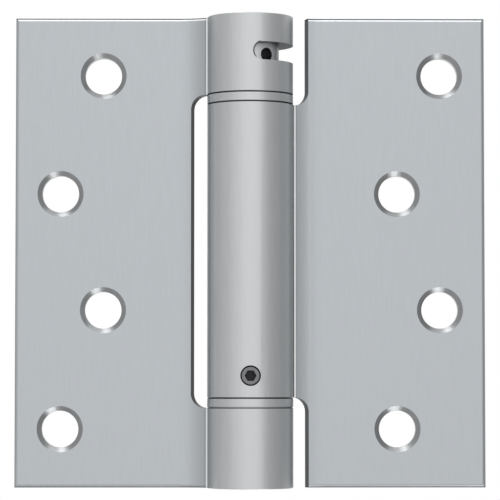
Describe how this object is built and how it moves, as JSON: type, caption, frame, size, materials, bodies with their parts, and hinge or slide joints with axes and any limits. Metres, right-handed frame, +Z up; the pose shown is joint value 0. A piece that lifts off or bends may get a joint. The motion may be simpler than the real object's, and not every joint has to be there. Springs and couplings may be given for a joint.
{
  "type": "single action spring hinge",
  "caption": "Square-corner spring hinge: two rolled steel leaves on a barrel that holds a torsion spring, tensioned through a slot in the top knuckle.",
  "frame": {"origin": "on the pin axis, at the middle of the leaves' height", "axes": "+Z up along the pin, +Y out of the leaves' back faces, +X along the barrel leaf when the hinge is open flat"},
  "size_m": [0.1142, 0.0208, 0.1142],
  "materials": {
    "satin_plate": "satin chrome plate on rolled steel sheet",
    "bush_bronze": "plain sintered bronze",
    "turned_steel": "turned steel, zinc plated",
    "spring_steel": "oiled spring wire",
    "screw_steel": "plated steel with a dark socket"
  },
  "bodies": {
    "fixed_leaf": {"knuckle_leaf": "satin_plate", "top_cap": "satin_plate", "bottom_cap": "satin_plate", "upper_thrust_ring": "satin_plate", "lower_thrust_ring": "satin_plate", "lower_bush": "bush_bronze"},
    "swinging_leaf": {"barrel_leaf": "satin_plate", "upper_bush": "bush_bronze", "lower_pivot_plug": "turned_steel", "plug_set_screw": "screw_steel", "torsion_spring": "spring_steel"},
    "spindle": {"tension_spindle": "turned_steel"}
  },
  "joints": [
    {"name": "leaf_swing", "type": "hinge", "parent": "fixed_leaf", "child": "swinging_leaf", "pos_m": [0, 0, 0], "axis": [0, 0, -1], "range_deg": [0, 180]},
    {"name": "spindle_wind", "type": "hinge", "parent": "swinging_leaf", "child": "spindle", "pos_m": [0, 0, 0.04815], "axis": [0, 0, -1], "range_deg": [0, 180], "stiffness_Nm_per_rad": 0.48, "deforming": ["torsion_spring"]}
  ]
}
